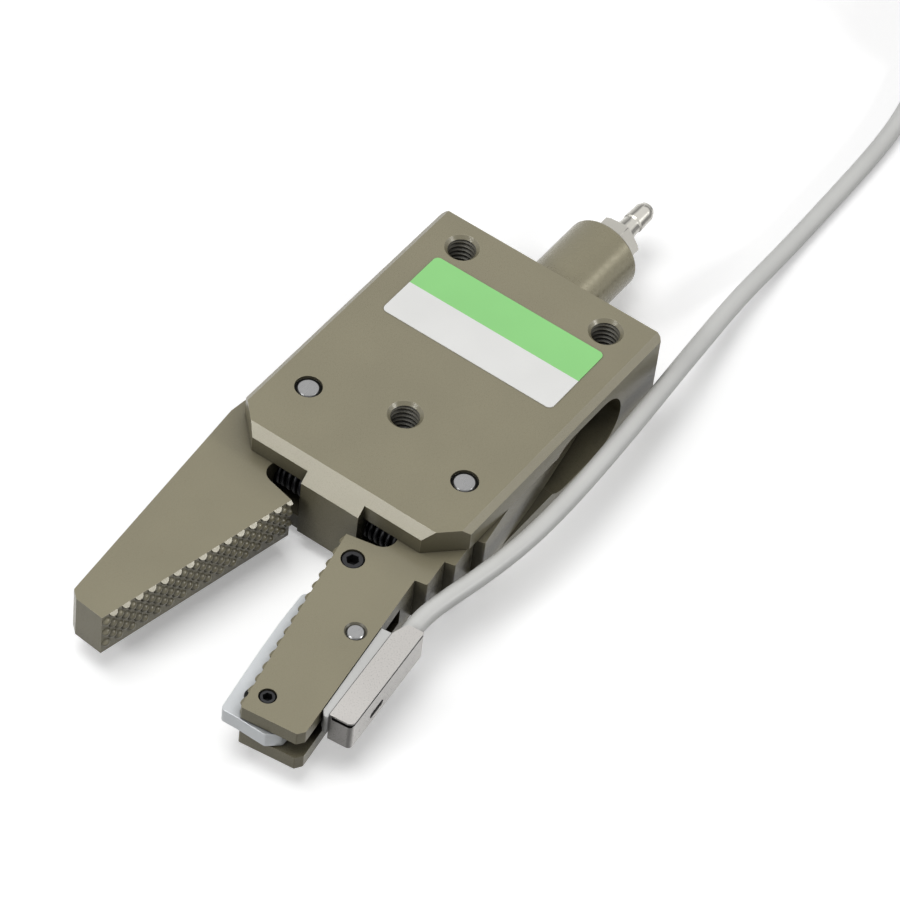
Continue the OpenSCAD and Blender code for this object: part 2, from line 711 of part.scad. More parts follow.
// Outline of the housing from above; its rear inner corner tapers in towards the cable
module sensor_outline_2d(inset) {
    u0 = pad_thickness + inset;
    u1 = pad_thickness + sensor_width - inset;
    v0 = sensor_start + inset;
    v1 = sensor_start + sensor_length;
    polygon(rounded([[u0, v0, 0], [u1, v0, 0.9 - inset], [u1, v1, 0],
        [u0 + 1.2, v1, 0.6], [u0, v1 - 2.8, 1.2]]));
}

module sensor_core() {
    color([0.2, 0.2, 0.21]) leaning()
        translate([0, 0, sensor_top - sensor_height + sheet_thickness])
            linear_extrude(sensor_height - 2 * sheet_thickness) sensor_outline_2d(sheet_thickness);
}

// Folded sheet box, open at the back, with its seam along the top outer edge
module sensor_housing() {
    bottom = sensor_top - sensor_height;
    u1 = pad_thickness + sensor_width;
    slit = 0.4;
    seam = 0.12;
    hole_v = sensor_start + 6.7;
    color([0.8, 0.79, 0.77]) leaning() difference() {
        translate([0, 0, bottom]) linear_extrude(sensor_height) sensor_outline_2d(0);
        translate([0, 0, bottom + sheet_thickness])
            linear_extrude(sensor_height - 2 * sheet_thickness) sensor_outline_2d(sheet_thickness);
        translate([pad_thickness + sheet_thickness, sensor_start - cut, sensor_top - sheet_thickness - slit])
            cube([sensor_width, sheet_thickness + cut, slit]);
        translate([u1 - sheet_thickness - cut, sensor_start - cut, sensor_top - sheet_thickness - seam])
            cube([sheet_thickness + 2 * cut, sensor_length + 2 * cut, seam]);
        translate([u1 - sheet_thickness - cut, hole_v, bottom + 1.8]) rotate([90, 0, 90]) {
            for (v = [0, 2.8]) translate([v, 0, 0]) cylinder(d = 1.3, h = sheet_thickness + 2 * cut);
            translate([0, -0.65, 0]) cube([2.8, 1.3, sheet_thickness + 2 * cut]);
        }
    }
}

// ---- Cable ----

cable_grey = [0.78, 0.78, 0.76];

module sensor_cable_lead() { color(cable_grey) tube(lead_route, cable_d); }

module sensor_cable() { color(cable_grey) tube(cable_route, cable_d); }

module coil_section(extra) {
    w = coil_layers * cable_d + 2 * extra;
    h = coil_rows * cable_d;
    translate([coil_d / 2 - w / 2, extra > 0 ? 0.4 : 0]) square([w, h + (extra > 0 ? extra - 0.4 : 0)]);
}

module cable_coil() {
    color(cable_grey) translate([coil_at.x, coil_at.y, 0]) rotate_extrude($fn = 64) coil_section(0);
}

// Tie round the coil's turns
module cable_tie() {
    angle = tie_width / (coil_d / 2) * 180 / PI;
    color(black_steel) translate([coil_at.x, coil_at.y, 0]) rotate(tie_angle) difference() {
        rotate_extrude(angle = angle) coil_section(tie_thickness);
        translate([0, 0, -cut]) rotate(-5) rotate_extrude(angle = angle + 10)
            translate([coil_d / 2 - coil_layers * cable_d / 2, 0])
                square([coil_layers * cable_d, coil_rows * cable_d + cut]);
    }
}

// The three insulated wires at the cable's far end, which rest on the coil
module cable_wires() {
    color([0.45, 0.3, 0.2]) translate([coil_at.x, coil_at.y, coil_rows * cable_d + wire_d / 2 + 0.05])
        rotate(wire_end_angle) for (i = [-1:1]) translate([coil_d / 2 + i * 1.1 * wire_d, 0, 0])
            rotate([90, 0, i * wire_spread]) cylinder(d = wire_d, h = wire_length, $fn = 16);
}

body();
label();
cylinder_barrel();
rod_bush();
fitting_gasket();
barb_fitting();
plunger();
piston();
piston_seal();
pivot_pin(-1);  // left_pivot_pin
pivot_pin(1);  // right_pivot_pin
left_jaw();
cam_pin(-1);  // left_cam_pin
jaw_spring(-1);  // left_jaw_spring
right_jaw();
cam_pin(1);  // right_cam_pin
jaw_spring(1);  // right_jaw_spring
lever_pin();
lever_stop_screw();
spring_clamp_screw();
lever_spring();
sensing_lever();
sensor_pad();
sensor_core();
sensor_housing();
sensor_cable_lead();
sensor_cable();
cable_coil();
cable_tie();
cable_wires();
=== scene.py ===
import math

import bpy
from mathutils import Matrix, Vector


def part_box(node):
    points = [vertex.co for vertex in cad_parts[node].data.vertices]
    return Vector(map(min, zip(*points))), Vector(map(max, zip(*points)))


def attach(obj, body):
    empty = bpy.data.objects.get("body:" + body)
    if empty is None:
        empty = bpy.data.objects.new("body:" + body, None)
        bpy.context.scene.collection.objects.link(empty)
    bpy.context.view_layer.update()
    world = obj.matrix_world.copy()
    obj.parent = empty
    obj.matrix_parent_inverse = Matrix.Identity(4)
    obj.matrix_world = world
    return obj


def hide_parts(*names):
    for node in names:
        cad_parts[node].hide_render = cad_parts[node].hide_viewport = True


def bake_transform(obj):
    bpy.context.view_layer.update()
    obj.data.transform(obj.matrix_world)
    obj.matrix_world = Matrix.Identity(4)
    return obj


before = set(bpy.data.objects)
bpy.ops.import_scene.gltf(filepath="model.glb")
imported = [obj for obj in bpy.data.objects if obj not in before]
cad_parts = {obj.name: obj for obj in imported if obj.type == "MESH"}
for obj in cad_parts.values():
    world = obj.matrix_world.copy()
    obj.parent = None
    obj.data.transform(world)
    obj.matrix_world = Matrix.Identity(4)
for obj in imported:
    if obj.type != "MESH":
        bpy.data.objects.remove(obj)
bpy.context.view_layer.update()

MM = 0.001
BODY_HALF_LENGTH = 30.8 * MM
LABEL_SPLIT_Y = 43.6 * MM - BODY_HALF_LENGTH
CABLE_DIAMETER = 3.3 * MM
WIRE_DIAMETER = 1.0 * MM
COPPER_DIAMETER = 0.6 * MM
BARE_LENGTH = 4.0 * MM
COIL_CENTRE = Vector((32 * MM, 155 * MM, 0))
OUTER_TURN_RADIUS = 20.65 * MM
INNER_TURN_RADIUS = 17.35 * MM
TURN_HEIGHTS = (1.66 * MM, 4.96 * MM, 8.26 * MM, 11.56 * MM)


def deselect_all():
    bpy.ops.object.select_all(action="DESELECT")


def choose_only(obj):
    """Makes a piece the only one that the next operator works on."""
    deselect_all()
    obj.select_set(True)
    bpy.context.view_layer.objects.active = obj


# ---- Camera ----

CAMERA_PLACE = (0.251185, -0.426725, 0.566153)
CAMERA_TURN_DEGREES = (40.92433, -4.85255, 35.80972)
CAMERA_LENS = 176.99


def make_camera():
    data = bpy.data.cameras.new("camera")
    data.lens = CAMERA_LENS
    data.sensor_width = 36
    camera = bpy.data.objects.new("camera", data)
    bpy.context.scene.collection.objects.link(camera)
    camera.location = CAMERA_PLACE
    camera.rotation_euler = [math.radians(a) for a in CAMERA_TURN_DEGREES]
    bpy.context.scene.camera = camera
    bpy.context.scene.view_settings.view_transform = "Standard"


make_camera()


# ---- Shader groups ----

def new_group(name, inputs, outputs):
    group = bpy.data.node_groups.new(name, "ShaderNodeTree")
    for socket, value in inputs:
        kind = "NodeSocketFloat" if not isinstance(value, tuple) else "NodeSocketVector"
        item = group.interface.new_socket(name=socket, in_out="INPUT", socket_type=kind)
        item.default_value = value
    for socket in outputs:
        group.interface.new_socket(name=socket, in_out="OUTPUT", socket_type="NodeSocketFloat")
    return group, group.nodes.new("NodeGroupInput"), group.nodes.new("NodeGroupOutput")


def node(tree, kind, **settings):
    made = tree.nodes.new(kind)
    for key, value in settings.items():
        setattr(made, key, value)
    return made


def math_node(tree, operation, *values):
    made = node(tree, "ShaderNodeMath", operation=operation)
    for socket, value in zip(made.inputs, values):
        if isinstance(value, (int, float)):
            socket.default_value = value
        else:
            tree.links.new(value, socket)
    return made.outputs[0]


def make_blast_grain():
    """Fine even grain of a blasted, anodised face, with faint broad clouds."""
    group, given, put = new_group("blast_grain", [("Grain", 9000.0), ("Clouds", 60.0)],
                                  ["Grain", "Clouds"])
    place = node(group, "ShaderNodeTexCoord")
    for socket, detail in (("Grain", 3.0), ("Clouds", 2.0)):
        noise = node(group, "ShaderNodeTexNoise")
        noise.inputs["Detail"].default_value = detail
        noise.inputs["Roughness"].default_value = 0.6
        group.links.new(place.outputs["Object"], noise.inputs["Vector"])
        group.links.new(given.outputs[socket], noise.inputs["Scale"])
        group.links.new(noise.outputs["Fac"], put.inputs[socket])
    return group


def make_tool_lines():
    """Fine parallel lines left by a cutter or a brush, long along one axis."""
    group, given, put = new_group("tool_lines", [("Stretch", (3000.0, 60.0, 3000.0))], ["Lines"])
    place = node(group, "ShaderNodeTexCoord")
    scale = node(group, "ShaderNodeVectorMath", operation="MULTIPLY")
    group.links.new(place.outputs["Object"], scale.inputs[0])
    group.links.new(given.outputs["Stretch"], scale.inputs[1])
    noise = node(group, "ShaderNodeTexNoise")
    noise.inputs["Scale"].default_value = 1.0
    noise.inputs["Detail"].default_value = 3.0
    group.links.new(scale.outputs[0], noise.inputs["Vector"])
    group.links.new(noise.outputs["Fac"], put.inputs["Lines"])
    return group


BLAST_GRAIN = make_blast_grain()
TOOL_LINES = make_tool_lines()


def place_group(tree, group, **values):
    made = node(tree, "ShaderNodeGroup", node_tree=group)
    for key, value in values.items():
        made.inputs[key].default_value = value
    return made


def new_material(name, roughness, metallic=0.0, **extra):
    material = bpy.data.materials.new(name)
    material.use_nodes = True
    shader = material.node_tree.nodes["Principled BSDF"]
    shader.inputs["Roughness"].default_value = roughness
    shader.inputs["Metallic"].default_value = metallic
    for key, value in extra.items():
        shader.inputs[key.replace("_", " ")].default_value = value
    return material, material.node_tree, shader


def mix_colours(tree, factor, first, second):
    mix = node(tree, "ShaderNodeMix", data_type="RGBA")
    tree.links.new(factor, mix.inputs[0])
    for socket, value in ((mix.inputs[6], first), (mix.inputs[7], second)):
        if isinstance(value, tuple):
            socket.default_value = (*value, 1)
        else:
            tree.links.new(value, socket)
    return mix.outputs[2]


def spread(tree, value, low, high, out_low=0.0, out_high=1.0):
    """Stretches a value that lies between low and high over another range."""
    made = node(tree, "ShaderNodeMapRange")
    tree.links.new(value, made.inputs["Value"])
    limits = {"From Min": low, "From Max": high, "To Min": out_low, "To Max": out_high}
    for key, number in limits.items():
        made.inputs[key].default_value = number
    return made.outputs["Result"]


def add_bump(tree, shader, height, distance):
    bump = node(tree, "ShaderNodeBump")
    bump.inputs["Distance"].default_value = distance
    bump.inputs["Strength"].default_value = 1
    tree.links.new(height, bump.inputs["Height"])
    tree.links.new(bump.outputs["Normal"], shader.inputs["Normal"])


def vary_gloss(tree, shader, height, smoothest, roughest):
    tree.links.new(spread(tree, height, 0.3, 0.7, smoothest, roughest), shader.inputs["Roughness"])


def clouded(tree, grains, colour, depth):
    """A colour that falls by the fraction depth in broad faint clouds."""
    darker = tuple(c * (1 - depth) for c in colour)
    return mix_colours(tree, spread(tree, grains.outputs["Clouds"], 0.35, 0.65), darker, colour)


CREVICE_REACH = 2.5 * MM
PLAIN_SPECULAR = 0.5


def make_open_faces():
    """1 on open faces, and down to 0 where other faces stand within reach."""
    group, given, put = new_group("open_faces", [("Reach", CREVICE_REACH)], ["Open"])
    occlusion = node(group, "ShaderNodeAmbientOcclusion", samples=8)
    group.links.new(given.outputs["Reach"], occlusion.inputs["Distance"])
    group.links.new(spread(group, occlusion.outputs["AO"], 0.25, 1), put.inputs["Open"])
    return group


OPEN_FACES = make_open_faces()


def paint_crevice_shade(tree, colour, tone, reach):
    """Paints shade into a colour where other faces stand close to it."""
    painted_shade_colour = tuple(c * 0.15 for c in colour)
    open_faces = place_group(tree, OPEN_FACES, Reach=reach).outputs["Open"]
    return mix_colours(tree, open_faces, painted_shade_colour, tone)


def painted_reflection_and_gloss_mask(tree, upright_only):
    """1 on faces at a middle angle to the viewer, 0 on the others, so it moves with the viewer: the mask of
    a painted dark reflection and of less gloss.
    """
    facing = node(tree, "ShaderNodeLayerWeight").outputs["Facing"]
    turned = math_node(tree, "MINIMUM", spread(tree, facing, 0.3, 0.38),
                       spread(tree, facing, 0.38, 0.66, 1, 0))
    if not upright_only:
        return turned
    parts = node(tree, "ShaderNodeSeparateXYZ")
    tree.links.new(node(tree, "ShaderNodeTexCoord").outputs["Normal"], parts.inputs[0])
    upright = spread(tree, math_node(tree, "ABSOLUTE", parts.outputs["Z"]), 0.35, 0.75, 1, 0)
    return math_node(tree, "MULTIPLY", turned, upright)


def finish_metal(name, colour, roughness, metallic, grain=9000.0, bump=0.004 * MM,
                 stretch=None, clouds=0.06, painted_reflection_tone=1.0, dark_gloss=1.0, upright_only=True,
                 reach=CREVICE_REACH):
    """A metal finish: grain or tool lines in its bump and gloss, broad clouds in its colour, painted shade
    in its crevices and, where a reflection tone is given, a painted dark reflection that moves with the
    viewer.
    """
    material, tree, shader = new_material(name, roughness, metallic)
    grains = place_group(tree, BLAST_GRAIN, Grain=grain)
    height = grains.outputs["Grain"]
    if stretch:
        height = place_group(tree, TOOL_LINES, Stretch=stretch).outputs["Lines"]
    tone = clouded(tree, grains, colour, clouds)
    if dark_gloss < 1:
        painted_reflection_and_gloss = painted_reflection_and_gloss_mask(tree, upright_only)
        # The next line paints a dark reflection into the colour itself, so that the colour moves with the
        # viewer, which a finish shouldn't do.
        # Without it and its tone the finish keeps its plain colour and its gloss.
        tone = mix_colours(tree, painted_reflection_and_gloss, tone, tuple(c * painted_reflection_tone for c in colour))
        gloss = spread(tree, painted_reflection_and_gloss, 0, 1, PLAIN_SPECULAR, PLAIN_SPECULAR * dark_gloss)
        tree.links.new(gloss, shader.inputs["Specular IOR Level"])
    # The colour takes painted shade where other faces stand close.
    tree.links.new(paint_crevice_shade(tree, colour, tone, reach), shader.inputs["Base Color"])
    vary_gloss(tree, shader, height, roughness - 0.05, roughness + 0.06)
    add_bump(tree, shader, height, bump)
    return material


def finish_plastic(name, colour, roughness, grain=5000.0, bump=0.003 * MM, **extra):
    material, tree, shader = new_material(name, roughness, **extra)
    grains = place_group(tree, BLAST_GRAIN, Grain=grain)
    # The colour takes painted shade where other faces stand close.
    tone = paint_crevice_shade(tree, colour, clouded(tree, grains, colour, 0.07), CREVICE_REACH)
    tree.links.new(tone, shader.inputs["Base Color"])
    vary_gloss(tree, shader, grains.outputs["Grain"], roughness - 0.06, roughness + 0.06)
    add_bump(tree, shader, grains.outputs["Grain"], bump)
    return material


OLIVE = (0.262, 0.238, 0.158)
# Paler olive on the chamfers: edge wear, and a painted highlight along the edges.
OLIVE_EDGE_WEAR_AND_HIGHLIGHT = (0.40, 0.375, 0.28)

# The anodised olive paints a dark reflection into its colour at a middle angle to the viewer, and shade
# where other faces stand within 8 mm.
olive_anodised = finish_metal("olive_anodised", OLIVE, 0.29, 0.05, reach=8 * MM,
                              painted_reflection_tone=0.78, dark_gloss=0.2)
olive_edge_wear_and_highlight = finish_metal("olive_edge_wear_and_highlight", OLIVE_EDGE_WEAR_AND_HIGHLIGHT, 0.42, 0.3)
# A darker olive: painted shade on the threads in the holes and round the lever pin.
shaded_olive = finish_metal("shaded_olive", (0.11, 0.10, 0.068), 0.4, 0.1)
barrel_anodised = finish_metal("barrel_anodised", OLIVE, 0.27, 0.3, grain=900.0, bump=0)
# Both nickel finishes paint a dark reflection into their colour at a middle angle to the viewer.
nickel = finish_metal("nickel_plate", (0.69, 0.67, 0.61), 0.2, 0.6, bump=0.001 * MM,
                      painted_reflection_tone=0.3, dark_gloss=0.3, upright_only=False)
nickel_sheet = finish_metal("nickel_sheet", (0.57, 0.55, 0.525), 0.3, 0.5, grain=5000.0,
                            bump=0.002 * MM, painted_reflection_tone=0.22, dark_gloss=0.22)
ground_steel = finish_metal("ground_steel", (0.34, 0.34, 0.34), 0.3, 0.9,
                            stretch=(5000.0, 700.0, 5000.0), bump=0.002 * MM)
turned_aluminium = finish_metal("turned_aluminium", (0.6, 0.6, 0.61), 0.32, 1.0,
                                stretch=(300.0, 9000.0, 300.0), bump=0.003 * MM)
bronze = finish_metal("sintered_bronze", (0.5, 0.34, 0.14), 0.45, 1.0, grain=3500.0)
black_oxide = finish_metal("black_oxide", (0.012, 0.012, 0.014), 0.45, 0.3)
spring_steel = finish_metal("spring_steel", (0.2, 0.2, 0.21), 0.35, 0.9)
lever_plate = finish_metal("lever_plate", (0.70, 0.725, 0.74), 0.36, 0.2,
                           stretch=(2500.0, 200.0, 2500.0), bump=0.002 * MM)
seal_rubber = finish_plastic("seal_rubber", (0.02, 0.02, 0.02), 0.55)
white_pad = finish_plastic("white_pad", (0.60, 0.60, 0.585), 0.45)
sensor_resin = finish_plastic("sensor_resin", (0.03, 0.03, 0.032), 0.4)
gasket_nylon = finish_plastic("gasket_nylon", (0.72, 0.72, 0.69), 0.4)
gap_shadow = finish_plastic("gap_shadow", (0.012, 0.012, 0.01), 0.8, Specular_IOR_Level=0.1)
tie_nylon = finish_plastic("tie_nylon", (0.02, 0.02, 0.02), 0.4)
cable_sheath = finish_plastic("cable_sheath", (0.66, 0.66, 0.64), 0.42, grain=2500.0, bump=0.006 * MM)
copper = finish_metal("bare_copper", (0.72, 0.38, 0.22), 0.35, 1.0)
wire_brown = finish_plastic("wire_brown", (0.12, 0.05, 0.025), 0.4)
wire_blue = finish_plastic("wire_blue", (0.02, 0.08, 0.35), 0.4)
wire_black = finish_plastic("wire_black", (0.02, 0.02, 0.02), 0.4)


LABEL_WHITE = (0.87, 0.87, 0.85)
LABEL_GREEN = (0.305, 0.72, 0.25)


def make_label_film():
    """Printed film with a green band behind and a white band in front."""
    material, tree, shader = new_material("label_film", 0.32)
    grains = place_group(tree, BLAST_GRAIN, Grain=7000.0)
    place = node(tree, "ShaderNodeTexCoord")
    parts = node(tree, "ShaderNodeSeparateXYZ")
    tree.links.new(place.outputs["Object"], parts.inputs[0])
    behind = math_node(tree, "GREATER_THAN", parts.outputs["Y"], LABEL_SPLIT_Y)
    bands = mix_colours(tree, behind, LABEL_WHITE, LABEL_GREEN)
    clouds = mix_colours(tree, spread(tree, grains.outputs["Clouds"], 0.3, 0.7),
                         (0.93, 0.93, 0.93), (1.0, 1.0, 1.0))
    mix = node(tree, "ShaderNodeMix", data_type="RGBA", blend_type="MULTIPLY")
    mix.inputs[0].default_value = 1
    tree.links.new(bands, mix.inputs[6])
    tree.links.new(clouds, mix.inputs[7])
    tree.links.new(mix.outputs[2], shader.inputs["Base Color"])
    vary_gloss(tree, shader, grains.outputs["Grain"], 0.28, 0.38)
    add_bump(tree, shader, grains.outputs["Grain"], 0.002 * MM)
    return material


label_film = make_label_film()


def paint(obj, *materials):
    """Gives a piece its material, and its chamfers the second one."""
    obj.data.materials.clear()
    for material in materials:
        obj.data.materials.append(material)


# ---- Cable ----

LEAD_AND_CABLE_MM = [
    (24.7, -45.2, 10.8), (24.1, -41, 10.8), (24.3, -37.5, 10.8), (25, -33.5, 10.8),
    (25.9, -29.2, 10.8), (26.7, -25, 10.8), (27.3, -21, 10.8), (27.7, -17.2, 10.8),
    (28.1, -13.4, 10.8), (28.2, -7, 10.8), (28.2, -1.5, 10.8), (27.8, 7.4, 10.8),
    (27.4, 14, 10.8), (26.8, 23.2, 10.7), (26, 30.2, 10.1), (25.2, 36.5, 9), (24.3, 43, 7.6),
    (23.5, 49.5, 6.5), (22.7, 56, 5.4), (22.2, 62, 4.4), (21.8, 68, 3.2), (21.4, 75, 2.1),
    (21.1, 83, 1.7), (20.9, 92, 1.7), (20.7, 101, 1.7), (20.4, 110, 1.7), (19.5, 119.5, 1.7),
    (17.2, 128.5, 1.7), (14.1, 137.5, 1.7), (12, 146.3, 1.7), (11.35, 155, 1.7)]
TURNS = [(OUTER_TURN_RADIUS, TURN_HEIGHTS[0]), (INNER_TURN_RADIUS, TURN_HEIGHTS[0]),
         (INNER_TURN_RADIUS, TURN_HEIGHTS[1]), (OUTER_TURN_RADIUS, TURN_HEIGHTS[1]),
         (OUTER_TURN_RADIUS, TURN_HEIGHTS[2]), (INNER_TURN_RADIUS, TURN_HEIGHTS[2]),
         (INNER_TURN_RADIUS, TURN_HEIGHTS[3]), (OUTER_TURN_RADIUS, TURN_HEIGHTS[3])]
STEPS_PER_TURN = 36
LAST_TURN_STEPS = 32
CROSSOVER_STEPS = 5
POINTS_PER_SPAN = 4
RELAXED_POINTS = POINTS_PER_SPAN * (len(LEAD_AND_CABLE_MM) - 2)
RELAX_PASSES = 20


def cable_points():
    """The sensor cable's middle line: beside the body, down to the floor, then round the coil."""
    points = [Vector(p) * MM for p in LEAD_AND_CABLE_MM[:-1]]
    for index, (radius, height) in enumerate(TURNS):
        before = TURNS[index - 1] if index else (radius, height)
        steps = STEPS_PER_TURN if index < len(TURNS) - 1 else LAST_TURN_STEPS
        for step in range(steps):
            t = min(1.0, step / CROSSOVER_STEPS)
            t = t * t * (3 - 2 * t)
            r = before[0] + (radius - before[0]) * t
            z = before[1] + (height - before[1]) * t
            angle = math.pi - 2 * math.pi * step / STEPS_PER_TURN
            points.append(COIL_CENTRE + Vector((r * math.cos(angle), r * math.sin(angle), z)))
    return points


def smooth_line(points, per_span):
    """Catmull-Rom line through the points."""
    line = []
    for i in range(len(points) - 1):
        a = points[max(i - 1, 0)]
        b, c = points[i], points[i + 1]
        d = points[min(i + 2, len(points) - 1)]
        for step in range(per_span):
            t = step / per_span
            line.append(0.5 * ((2 * b) + (c - a) * t + (2 * a - 5 * b + 4 * c - d) * t * t
                               + (3 * b - a - 3 * c + d) * t ** 3))
    line.append(points[-1])
    return line


def tube_along(name, line, diameter, sides):
    """A round tube with closed ends along a line of points: a beveled path turned into a mesh."""
    deselect_all()
    bpy.ops.curve.primitive_nurbs_path_add()
    tube = bpy.context.object
    tube.name = name
    tube.data.splines.clear()
    path = tube.data.splines.new("POLY")
    path.points.add(len(line) - 1)
    for point, place in zip(path.points, line):
        point.co = (*place, 1)
    tube.data.bevel_depth = diameter / 2
    tube.data.bevel_resolution = sides // 2 - 2
    tube.data.use_fill_caps = True
    bpy.ops.object.convert(target="MESH")
    close_tube(tube)
    return tube


def close_tube(tube):
    """Welds a swept section's runs, closes its two ends and turns its faces outward."""
    choose_only(tube)
    bpy.ops.object.mode_set(mode="EDIT")
    bpy.ops.mesh.select_all(action="SELECT")
    bpy.ops.mesh.remove_doubles(threshold=0.0005 * MM)
    bpy.ops.mesh.select_all(action="DESELECT")
    bpy.ops.mesh.select_non_manifold()
    bpy.ops.mesh.edge_face_add()
    bpy.ops.mesh.select_all(action="SELECT")
    bpy.ops.mesh.normals_make_consistent(inside=False)
    bpy.ops.object.mode_set(mode="OBJECT")
    bpy.ops.object.shade_smooth_by_angle(angle=math.radians(40))


def relax(line, last):
    """Evens out the bends of a line up to its point number last."""
    for _ in range(RELAX_PASSES):
        line[1:last] = [(a + 2 * b + c) / 4 for a, b, c in zip(line, line[1:], line[2:last + 1])]


def make_cable():
    line = smooth_line(cable_points(), POINTS_PER_SPAN)
    relax(line, RELAXED_POINTS)
    cable = tube_along("sensor_cable_sheath", line, CABLE_DIAMETER, 20)
    paint(cable, cable_sheath)
    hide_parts("sensor_cable_lead", "sensor_cable", "cable_coil")
    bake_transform(cable)
    return cable, line


# Along the cable, up, away from the coil, and apart from the middle wire.
WIRE_PATH_MM = [(-1, 0, 0, 0), (2, 0, 0, 0), (6, 1.5, 0.6, 0), (10, 2.4, 0.9, 0.4), (18, 2.5, 0.6, 1.2)]
WIRE_SPACING = 1.05 * MM
WIRE_POINTS_PER_SPAN = 5
TIP_OVERLAP = 0.5 * MM


def make_wires(cable_line):
    """Three insulated wires with stripped ends, from the cable's end over the coil."""
    end = cable_line[-1]
    along = (cable_line[-1] - cable_line[-3]).normalized()
    up = Vector((0, 0, 1))
    out = end - COIL_CENTRE
    out.z = 0
    out.normalize()
    made = []
    for side, material in ((-1, wire_brown), (0, wire_blue), (1, wire_black)):
        start = end + out * side * WIRE_SPACING
        points = [start + (along * a + up * u + out * (o + side * apart)) * MM
                  for a, u, o, apart in WIRE_PATH_MM]
        line = smooth_line(points, WIRE_POINTS_PER_SPAN)
        wire = tube_along(material.name, line, WIRE_DIAMETER, 12)
        paint(wire, material)
        onward = (line[-1] - line[-2]).normalized()
        bare_line = [line[-1] - onward * TIP_OVERLAP, line[-1] + onward * BARE_LENGTH]
        tip = tube_along(material.name + "_end", bare_line, COPPER_DIAMETER, 10)
        paint(tip, copper)
        made += [wire, tip]
    return made


cable, cable_line = make_cable()
wires = make_wires(cable_line)
for piece in wires:
    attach(piece, "base")
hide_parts("cable_wires")


# ---- Pieces with eased edges ----

def merged_copy(name, source):
    """A copy of a CAD piece with its loose triangles merged into clean faces."""
    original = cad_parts[source]
    obj = bpy.data.objects.new(name, original.data.copy())
    bpy.context.scene.collection.objects.link(obj)
    obj.data.transform(original.matrix_world)
    choose_only(obj)
    bpy.ops.mesh.customdata_custom_splitnormals_clear()
    bpy.ops.object.mode_set(mode="EDIT")
    bpy.ops.mesh.select_all(action="SELECT")
    bpy.ops.mesh.remove_doubles(threshold=0.002 * MM)
    bpy.ops.mesh.mark_sharp(clear=True)
    bpy.ops.mesh.dissolve_limited(angle_limit=math.radians(0.6))
    bpy.ops.object.mode_set(mode="OBJECT")
    return obj


def centre_of(source):
    low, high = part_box(source)
    return (Vector(low) + Vector(high)) / 2


def apply_modifier(obj, modifier):
    choose_only(obj)
    bpy.ops.object.modifier_apply(modifier=modifier.name)


def smooth_rounds(obj, degrees=20.0):
    choose_only(obj)
    bpy.ops.object.shade_smooth_by_angle(angle=math.radians(degrees))


def flatten_faces(obj):
    """Lets every large flat face keep its own normal right up to its chamfers."""
    weighting = obj.modifiers.new("face_weighting", "WEIGHTED_NORMAL")
    weighting.mode = "FACE_AREA"
    weighting.weight = 100
    weighting.keep_sharp = True
    apply_modifier(obj, weighting)


def break_edges(obj, width, angle=28.0):
    """Small flat chamfers on every sharp edge."""
    bevel = obj.modifiers.new("broken_edges", "BEVEL")
    bevel.width = width
    bevel.segments = 1
    bevel.limit_method = "ANGLE"
    bevel.angle_limit = math.radians(angle)
    bevel.use_clamp_overlap = True
    bevel.material = 1 if len(obj.data.materials) > 1 else -1
    apply_modifier(obj, bevel)


def paint_gap_shade(obj, inside_gap, material):
    """Paints shade, with a dull dark material, on the faces that lie in a gap."""
    obj.data.materials.append(material)
    slot = len(obj.data.materials) - 1
    for face in obj.data.polygons:
        if inside_gap(face.center):
            face.material_index = slot


def widen_sheet_gaps(sheet):
    """Lowers the lower lips of the sheet's front slit and long seam: both read as dark lines."""
    choose_only(sheet)
    bpy.ops.object.mode_set(mode="EDIT")
    bpy.ops.mesh.select_all(action="DESELECT")
    bpy.ops.object.mode_set(mode="OBJECT")
    for corner in sheet.data.vertices:
        corner.select = any(abs(corner.co.z - height) < 0.01 * MM for height in SHEET_GAP_BOTTOMS)
    bpy.ops.object.mode_set(mode="EDIT")
    bpy.ops.transform.translate(value=(0, 0, -SHEET_GAP_WIDENING))
    bpy.ops.object.mode_set(mode="OBJECT")


def eased_copy(name, source, body, width, materials, angle=28.0, reshape=None):
    obj = merged_copy(name, source)
    if reshape:
        reshape(obj)
    paint(obj, *materials)
    break_edges(obj, width, angle)
    smooth_rounds(obj)
    flatten_faces(obj)
    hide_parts(source)
    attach(obj, body)
    return obj


# ---- Threaded holes ----

HOLES_MM = [(0, 19), (-15, 56), (15, 56)]
THREAD_PITCH = 1.0 * MM
THREAD_CREST = 2.5 * MM
THREAD_ROOT = 3.0 * MM
THREAD_FOOT = 0.86 * THREAD_PITCH
CREST_TO_FOOT = 0.16
THREAD_START = 0.6 * MM
THREAD_TURNS = 17
ROOT_RUN_OUT = 0.6 * MM
THREAD_OVERLAP = 0.03 * MM


def hole_places():
    return [Vector((x * MM, y * MM - BODY_HALF_LENGTH, 0)) for x, y in HOLES_MM]


def open_hole_to_root(block, place):
    """Widens a hole to the thread's root between its two chamfered rims."""
    deselect_all()
    depth = THREAD_TURNS * THREAD_PITCH + ROOT_RUN_OUT
    middle = place + Vector((0, 0, THREAD_START + depth / 2))
    bpy.ops.mesh.primitive_cylinder_add(vertices=64, radius=THREAD_ROOT, depth=depth, location=middle)
    drill = bpy.context.object
    cutting = block.modifiers.new("thread_root", "BOOLEAN")
    cutting.operation = "DIFFERENCE"
    cutting.solver = "EXACT"
    cutting.object = drill
    apply_modifier(block, cutting)
    bpy.data.objects.remove(drill, do_unlink=True)


def screw_up(section, axis, pitch, turns, steps):
    screw = section.modifiers.new("turns", "SCREW")
    screw.axis = axis
    screw.screw_offset = pitch
    screw.iterations = turns
    screw.steps = screw.render_steps = steps
    screw.use_smooth_shade = False
    apply_modifier(section, screw)


